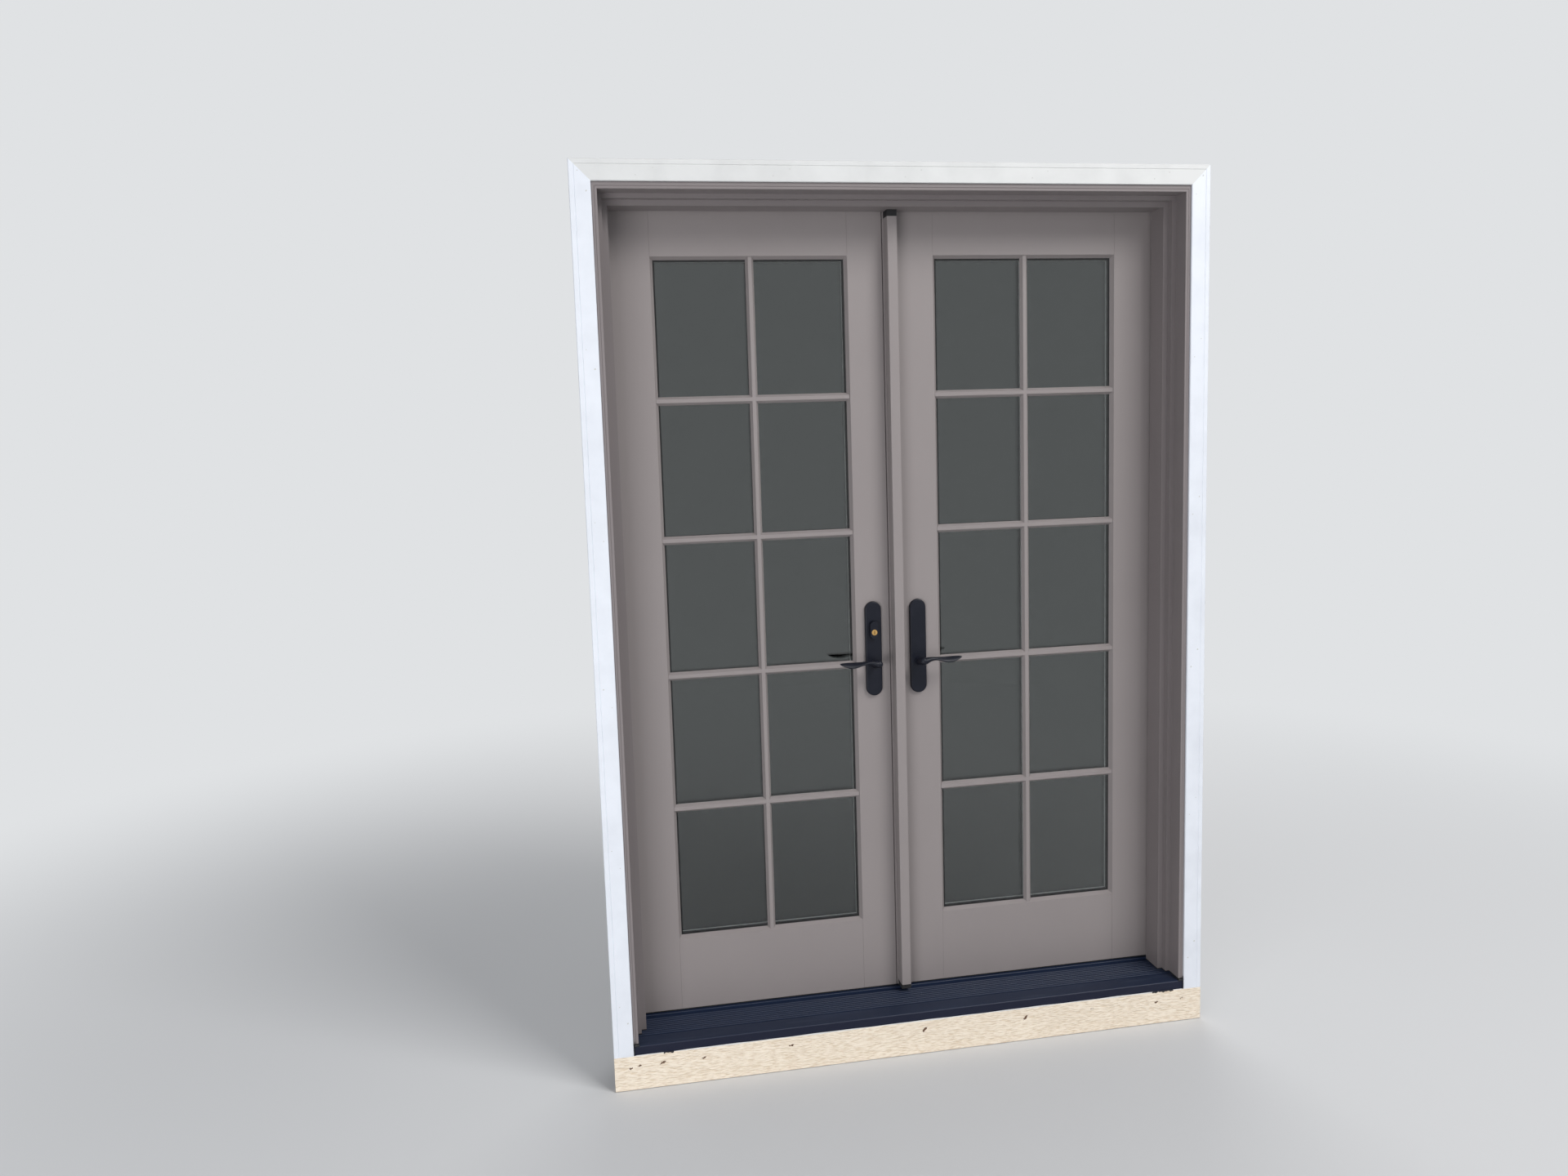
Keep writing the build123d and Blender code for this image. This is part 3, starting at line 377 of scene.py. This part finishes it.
skirt_coat = Finish("tan_primer", tone(234, 224, 206), 0.62)
drift = skirt_coat.cloud(9, 3, stretch=(0.5, 1, 1), out="Color")
sway = skirt_coat.add("ShaderNodeVectorMath", {"operation": "SCALE"}, drift, Scale=0.016)
bent = skirt_coat.add("ShaderNodeVectorMath", {"operation": "ADD"}, skirt_coat.place(), sway)
grain_place = skirt_coat.add("ShaderNodeMapping", None, bent, Scale=(0.17, 1, 1))
ridges = skirt_coat.add("ShaderNodeTexNoise", None, Vector=grain_place, Scale=360.0,
                        Detail=2.0, Roughness=0.45, Distortion=0.2)
crests = skirt_coat.ramp(ridges, (0.32, 0), (0.46, 0.55), (0.62, 1))
stains = skirt_coat.cloud(7, 4)
# Hollows between the ridges are painted darker, crests lighter: painted shade and light.
primed = skirt_coat.between(crests, tone(221, 203, 179), tone(242, 230, 212))
skirt_coat.set(Base_Color=skirt_coat.between(skirt_coat.ramp(stains, (0.5, 0), (0.8, 0.4)),
                                             primed, tone(226, 211, 190)),
               Roughness=0.52 + 0.2 * stains)
ridge_height = 0.0010
skirt_coat.relief(crests, ridge_height, 0.9)
skirt_coat.on("skirt_board")


# Nails: the skirt board is face-nailed and its nails have torn the primer into dark, slanting
# marks. The casing's nails are set and filled, and show as small dull spots in two rows.

class Tree(Nodes):
    """A Geometry Nodes tree with named inputs, run once over a cloud of points."""

    def __init__(self, name, **inputs):
        group = bpy.data.node_groups.new(name, "GeometryNodeTree")
        group.is_modifier = True
        super().__init__(group)
        self.values = {}
        face = group.interface
        face.new_socket("Points", in_out="INPUT", socket_type="NodeSocketGeometry")
        face.new_socket("Result", in_out="OUTPUT", socket_type="NodeSocketGeometry")
        for key, value in inputs.items():
            kind = {float: "Float", int: "Int", tuple: "Vector"}.get(type(value), "Material")
            item = face.new_socket(key, in_out="INPUT", socket_type="NodeSocket" + kind)
            self.values[item.identifier] = value
        self.source = group.nodes.new("NodeGroupInput")
        self.end = group.nodes.new("NodeGroupOutput")

    def given(self, name):
        """One of the tree's own inputs."""
        return Wire(self, self.source.outputs[name])

    def chance(self, low, high, offset=0):
        """A number between two for each point, from the tree's seed."""
        number = self.add("FunctionNodeRandomValue", {"data_type": "FLOAT"}, out=1,
                          Seed=self.given("Seed") + offset)
        return number * (high - low) + low

    def vector(self, x, y, z):
        return self.add("ShaderNodeCombineXYZ", None, x, y, z)

    def close(self, pieces):
        """Give the pieces their finish and send them out."""
        pieces = self.add("GeometryNodeSetMaterial", None, pieces, Material=self.given("Finish"))
        self.tree.links.new(pieces.socket, self.end.inputs[0])

    def run(self, name, points, body, slot):
        """Grow the tree's pieces on some points and keep them as one plain mesh."""
        cloud = bpy.data.meshes.new(name)
        cloud.from_pydata([tuple(point) for point in points], [], [])
        piece = bpy.data.objects.new(name, cloud)
        bpy.context.scene.collection.objects.link(piece)
        grown = piece.modifiers.new("grow", "NODES")
        grown.node_group = self.tree
        for key, value in self.values.items():
            grown[key] = value
        ready = piece.evaluated_get(bpy.context.evaluated_depsgraph_get())
        piece.data = bpy.data.meshes.new_from_object(ready)
        piece.modifiers.clear()
        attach(piece, body)


def nail_marks(name, length, height, proud, tear, seed, finish):
    """Flat irregular marks on a front face, no two alike."""
    tree = Tree(name, Length=length, Height=height, Proud=proud, Tear=tear, Seed=seed,
                Finish=finish.material)
    blob = tree.add("GeometryNodeMeshIcoSphere", Radius=1.0, Subdivisions=4)
    spread = tree.vector(tree.given("Length"), tree.given("Proud"), tree.given("Height"))
    blob = tree.add("GeometryNodeTransform", None, blob, Scale=spread)
    marks = tree.add("GeometryNodeInstanceOnPoints", None, tree.given("Points"), Instance=blob,
                     Rotation=tree.vector(0.0, tree.chance(-1.1, -0.1), 0.0),
                     Scale=tree.chance(0.6, 1.2, 5))
    marks = tree.add("GeometryNodeRealizeInstances", None, marks)
    torn = tree.add("ShaderNodeTexNoise", out="Color", Scale=260.0, Detail=3.0)
    torn = tree.add("ShaderNodeVectorMath", {"operation": "SUBTRACT"}, torn, (0.5, 0.5, 0.5))
    torn = tree.add("ShaderNodeVectorMath", {"operation": "MULTIPLY"}, torn, (1.0, 0.0, 1.0))
    shift = tree.add("ShaderNodeVectorMath", {"operation": "SCALE"}, torn,
                     Scale=tree.given("Tear"))
    tree.close(tree.add("GeometryNodeSetPosition", None, marks, Offset=shift))
    return tree


board_low, board_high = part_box("skirt_board")
torn_wood = Finish("torn_wood", tone(92, 66, 48), 0.85)
fray = torn_wood.cloud(700, 4)
torn_wood.set(Base_Color=torn_wood.between(fray, tone(52, 36, 28), tone(132, 102, 78)))
torn_wood.relief(fray, 0.0003)
skirt_nails = [(-0.751, -0.019), (-0.729, -0.014), (-0.671, -0.013), (-0.567, -0.014),
               (-0.342, -0.010), (0.011, -0.012), (0.289, -0.014), (0.476, -0.012),
               (0.661, -0.016), (0.735, -0.013)]
torn_marks = nail_marks("torn_nail_marks", length=0.0068, height=0.0023, proud=0.00022,
                        tear=0.012, seed=3, finish=torn_wood)
torn_marks.run("skirt_nails", [(x, board_low.y, z) for x, z in skirt_nails], "frame",
               "skirt_primed")

filler = Finish("nail_filler", tone(199, 200, 198), 0.7)
crumb = filler.cloud(900, 3)
filler.set(Roughness=0.6 + 0.3 * crumb)
filler.relief(crumb, 0.0002)
leg_low, leg_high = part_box("right_casing")
inner_row, outer_row, low_row, high_row = 0.011, 0.029, 0.036, 0.020
leg_first, leg_pitch, leg_lag = 0.10, 0.40, 0.045
head_first, head_pitch, head_lag = -0.64, 0.32, 0.04
casing_nails = []
for step in range(6):
    height = leg_first + leg_pitch * step
    for side in (-1, 1):
        casing_nails.append((side * (leg_low.x + inner_row), leg_low.y, height))
        casing_nails.append((side * (leg_low.x + outer_row), leg_low.y, height + leg_lag))
for step in range(5):
    across = head_first + head_pitch * step
    casing_nails.append((across, leg_low.y, leg_high.z - low_row))
    casing_nails.append((across + head_lag, leg_low.y, leg_high.z - high_row))
filled_spots = nail_marks("filled_nail_spots", length=0.0020, height=0.0018, proud=0.00012,
                          tear=0.0015, seed=8, finish=filler)
filled_spots.run("casing_nails", casing_nails, "frame", "casing_white")


# Sealant: a thin uneven pale bead along the skirt board's top edge under the sill's nose, and
# black smears round the feet of the jambs and across that edge near both ends.

bead_section = ((0.0, -1.0), (0.55, -0.6), (0.8, 0.0), (0.55, 0.6), (0.0, 1.0), (-0.3, 0.0))
end_taper = 0.35


def bead(name, finish, spots):
    """A low ribbon of sealant through spots of (x, y, z, half width), thin at both ends."""
    shell = bmesh.new()
    rings = []
    for number, (x, y, z, half) in enumerate(spots):
        if number in (0, len(spots) - 1):
            half *= end_taper
        rings.append([shell.verts.new((x, y - half * lift, z + half * rise))
                      for lift, rise in bead_section])
    for ring, after in zip(rings, rings[1:]):
        for step in range(len(ring)):
            follow = (step + 1) % len(ring)
            shell.faces.new((ring[step], ring[follow], after[follow], after[step]))
    shell.faces.new(rings[0][::-1])
    shell.faces.new(rings[-1])
    bmesh.ops.recalc_face_normals(shell, faces=shell.faces)
    mesh = bpy.data.meshes.new(name)
    shell.to_mesh(mesh)
    shell.free()
    for face in mesh.polygons:
        face.use_smooth = True
    mesh.materials.append(finish.material)
    piece = bpy.data.objects.new(name, mesh)
    bpy.context.scene.collection.objects.link(piece)
    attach(piece, "frame")


pale_sealant = Finish("pale_sealant", tone(222, 222, 220), 0.6)
smear = pale_sealant.cloud(120, 4)
pale_sealant.set(Base_Color=pale_sealant.between(smear, tone(198, 198, 197), tone(232, 231, 228)))
pale_sealant.relief(smear, 0.0003)
caulk_inset, caulk_out, caulk_steps = 0.051, 0.0014, 300
caulk_length = board_high.x - board_low.x - 2 * caulk_inset
caulk_line = []
for step in range(caulk_steps + 1):
    x = board_low.x + caulk_inset + caulk_length * step / caulk_steps
    swell = 0.5 + 0.3 * math.sin(23 * x + 1) + 0.2 * math.sin(61 * x)
    caulk_line.append((x, board_low.y + caulk_out, board_high.z, 0.0009 + 0.0015 * swell))
bead("sill_caulk", pale_sealant, caulk_line)

black_sealant = Finish("black_sealant", tone(22, 22, 26), 0.5)
finger = black_sealant.cloud(260, 4)
black_sealant.set(Roughness=0.4 + 0.3 * finger)
black_sealant.relief(finger, 0.0004)
casing_edge = -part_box("left_casing")[1].x
foot_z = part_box("left_cladding")[0].z
corner_z = board_high.z + 0.002
climb = foot_z - board_high.z + 0.004
corner_out, foot_out, edge_out = 0.0006, 0.0012, 0.0012
smear_steps, edge_steps = 12, 60
for side, name in ((-1, "left"), (1, "right")):
    corner_smear = []
    foot_smear = []
    for step in range(smear_steps + 1):
        along = step / smear_steps
        lump = 0.5 + 0.5 * math.sin(9 * along + 1.3 * side)
        corner_smear.append((side * (casing_edge - 0.0022 - 0.0012 * lump),
                             sill_low.y + corner_out, corner_z + climb * along,
                             0.0030 + 0.0022 * lump))
        foot_smear.append((side * (casing_edge - 0.0015 - 0.013 * along), sill_low.y + foot_out,
                           foot_z - 0.0042 - 0.0010 * lump, 0.0026 + 0.0018 * lump))
    bead(name + "_corner_smear", black_sealant, corner_smear)
    bead(name + "_foot_smear", black_sealant, foot_smear)
for name, start, end in (("left", -0.668, -0.642), ("right", 0.646, 0.712)):
    edge_smear = []
    for step in range(edge_steps + 1):
        x = start + (end - start) * step / edge_steps
        lump = 0.5 + 0.3 * math.sin(260 * x) + 0.2 * math.sin(610 * x)
        edge_smear.append((x, board_low.y + edge_out, board_high.z + 0.0004 - 0.0014 * lump,
                           0.0008 + 0.0022 * lump))
    bead(name + "_edge_smear", black_sealant, edge_smear)


# Leaves: stiles over the full height, rails between them with fine bevelled joints, and the
# glazing beads on the room side, all in factory taupe.

leaf_coat = taupe("taupe_leaf", (139, 132, 131))
for side in ("left_", "right_"):
    leaf_coat.on(*(side + part for part in ("hinge_stile", "lock_stile", "top_rail",
                                            "bottom_rail", "grilles", "glazing_beads")))


# Glass: a sealed unit of two panes with a spacer frame between them. The outer pane is nearly
# clear and the inner one dark, which stands for the dark room behind the doors.

glass = Finish("pane_glass", tone(236, 240, 238), 0.0, Transmission_Weight=1.0, IOR=1.5)
pane_low, pane_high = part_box("left_panes")
inner_pane = glass.past("Y", (pane_low.y + pane_high.y) / 2)
glass.set(Base_Color=glass.between(inner_pane, tone(222, 225, 224), tone(56, 59, 58)))
glass.on("left_panes", "right_panes")

spacer = Finish("spacer_dark", tone(34, 35, 37), 0.5)
spacer_grain = spacer.cloud(300, 3)
front_band = 0.0085
# The spacer's rear band is painted near white as a painted highlight; the front band stays dark.
painted_highlight_band = spacer.past("Y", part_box("left_spacer")[0].y + front_band)
spacer.set(Base_Color=spacer.between(painted_highlight_band, tone(30, 31, 33), tone(238, 239, 239)),
           Roughness=0.38 + 0.2 * spacer_grain)
spacer.on("left_spacer", "right_spacer")


# Astragal: the fixed post on the right leaf's edge, which stands out beside the seam and is
# finished like the leaves.

leaf_coat.on("astragal")


# Hinges: steel leaves let into the edges, three on each side, with their pins. The lock cases,
# the strikes and the bolts share their brushed steel.

steel = Finish("brushed_steel", tone(150, 150, 152), 0.36, Metallic=1.0)
brushing = steel.cloud(700, 3, stretch=(1, 1, 0.05))
steel.set(Roughness=0.28 + 0.2 * brushing)
steel.relief(brushing, 0.00003)
steel.on("frame_hinge_leaves", "hinge_pins", "left_hinge_leaves", "right_hinge_leaves",
         "bolt_strikes", "edge_strike", "left_lock_case", "right_lock_case", "deadbolt",
         "latch_bolt", "top_bolt", "bottom_bolt")


# Handle sets: cast plates and waved levers in a dark powder coat that is worn in places, with
# a brass key plug.

black = Finish("dark_powder_coat", tone(16, 19, 30), 0.40, Specular_IOR_Level=0.25)
pitting = black.cloud(1100, 3)
worn = black.cloud(45, 4)
black.set(Base_Color=black.between(black.ramp(worn, (0.5, 0), (0.8, 0.5)),
                                   tone(15, 18, 29), tone(26, 28, 38)),
          Roughness=0.33 + 0.2 * worn)
black.relief(pitting, 0.00005)
black.on("left_outer_plate", "left_inner_plate", "right_outer_plate", "right_inner_plate",
         "left_outer_lever", "left_inner_lever", "right_outer_lever", "right_inner_lever",
         "key_cylinder", "thumb_turn")

brass = Finish("key_brass", tone(206, 166, 104), 0.3, Metallic=1.0)
scratches = brass.cloud(1500, 3, stretch=(1, 1, 0.1))
brass.set(Roughness=0.24 + 0.25 * scratches)
brass.on("key_plug")


# Screws: low domed heads with a crossed recess, each turned by chance, in the hinge leaves, the
# strips in the leaves' edges, the bolt plates and the plates on the room side.

def screw_heads(name, radius, height, turn, finish):
    """A tree that sets heads on a surface, turned towards its normal."""
    tree = Tree(name, Radius=radius, Height=height, Turn=turn, Seed=2, Finish=finish.material)
    size, tall = tree.given("Radius"), tree.given("Height")
    head = tree.add("GeometryNodeMeshCone", Vertices=24, Side_Segments=1, Fill_Segments=1,
                    Radius_Top=size * 0.74, Radius_Bottom=size, Depth=tall)
    arms = []
    for wide, deep in ((1.15, 0.24), (0.24, 1.15)):
        arms.append(tree.add("GeometryNodeMeshCube",
                             Size=tree.vector(size * wide, size * deep, tall)))
    cross = tree.add("GeometryNodeMeshBoolean", {"operation": "UNION"})
    for arm in arms:
        tree.tree.links.new(arm.socket, cross.socket.node.inputs[1])
    cross = tree.add("GeometryNodeTransform", None, cross,
                     Translation=tree.vector(0.0, 0.0, tall * 0.95))
    head = tree.add("GeometryNodeMeshBoolean", {"operation": "DIFFERENCE"}, head, cross)
    spin = tree.vector(0.0, 0.0, tree.chance(0.0, 1.6))
    heads = tree.add("GeometryNodeInstanceOnPoints", None, tree.given("Points"), Instance=head,
                     Rotation=tree.given("Turn"))
    heads = tree.add("GeometryNodeRotateInstances", None, heads, Rotation=spin)
    tree.close(tree.add("GeometryNodeRealizeInstances", None, heads))
    return tree


quarter = math.pi / 2
hinge_head, plate_head = 0.0040, 0.0034
flat, domed = 0.0006, 0.0008
to_left = screw_heads("screws_to_left", hinge_head, flat, (0.0, -quarter, 0.0), steel)
to_right = screw_heads("screws_to_right", hinge_head, flat, (0.0, quarter, 0.0), steel)
to_room = screw_heads("screws_to_room", plate_head, domed, (-quarter, 0.0, 0.0), black)
downward = screw_heads("screws_down", plate_head, flat, (2 * quarter, 0.0, 0.0), steel)
upward = screw_heads("screws_up", plate_head, flat, (0.0, 0.0, 0.0), steel)

pins_low, pins_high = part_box("hinge_pins")
leaf_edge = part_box("right_hinge_stile")[1].x
frame_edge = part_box("threshold")[1].x
hinge_height, pin_head = 0.100, 0.003
screw_y, screw_zigzag, screw_pitch = 0.0640, 0.009, 0.024
low_hinge = pins_low.z + hinge_height / 2
high_hinge = pins_high.z - pin_head - hinge_height / 2
spots = [(screw_y + screw_zigzag * (step % 2), level + screw_pitch * (step - 1.5))
         for level in (low_hinge, (low_hinge + high_hinge) / 2, high_hinge) for step in range(4)]
to_left.run("frame_screws_right", [(frame_edge, y, z) for y, z in spots], "frame", "lock_steel")
to_right.run("frame_screws_left", [(-frame_edge, y, z) for y, z in spots], "frame", "lock_steel")
to_right.run("hinge_screws_right", [(leaf_edge, y, z) for y, z in spots], "right_door",
             "lock_steel")
to_left.run("hinge_screws_left", [(-leaf_edge, y, z) for y, z in spots], "left_door",
            "lock_steel")

strip_low, strip_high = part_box("edge_strike")
strip_y = (strip_low.y + strip_high.y) / 2
strip_heights = (0.075, 0.35, 0.62, 0.88, 1.09, 1.38, 1.70, 2.065)
to_left.run("strip_screws", [(strip_low.x, strip_y, z) for z in strip_heights], "right_door",
            "lock_steel")

case_inset, plate_inset = 0.009, 0.011
case_low, case_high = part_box("left_lock_case")
case_heights = (case_low.z + case_inset, case_high.z - case_inset)
to_right.run("case_screws", [(case_high.x, strip_y, z) for z in case_heights], "left_door",
             "lock_steel")

strike_reach, strike_sheet = 0.022, 0.0015
strike_low, strike_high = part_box("bolt_strikes")
strike_x = (strike_low.x + strike_high.x) / 2
sides = (strike_x - strike_reach, strike_x + strike_reach)
low_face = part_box("threshold")[1].z
high_face = strike_high.z - strike_sheet
upward.run("low_strike_screws", [(x, strip_y, low_face) for x in sides], "frame", "lock_steel")
downward.run("high_strike_screws", [(x, strip_y, high_face) for x in sides], "frame",
             "lock_steel")

for side in ("left", "right"):
    plate_low, plate_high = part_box(side + "_inner_plate")
    axis_x = (plate_low.x + plate_high.x) / 2
    heights = (plate_low.z + plate_inset, plate_high.z - plate_inset)
    to_room.run(side + "_plate_screws", [(axis_x, plate_high.y, z) for z in heights],
                side + "_door", "black_metal")
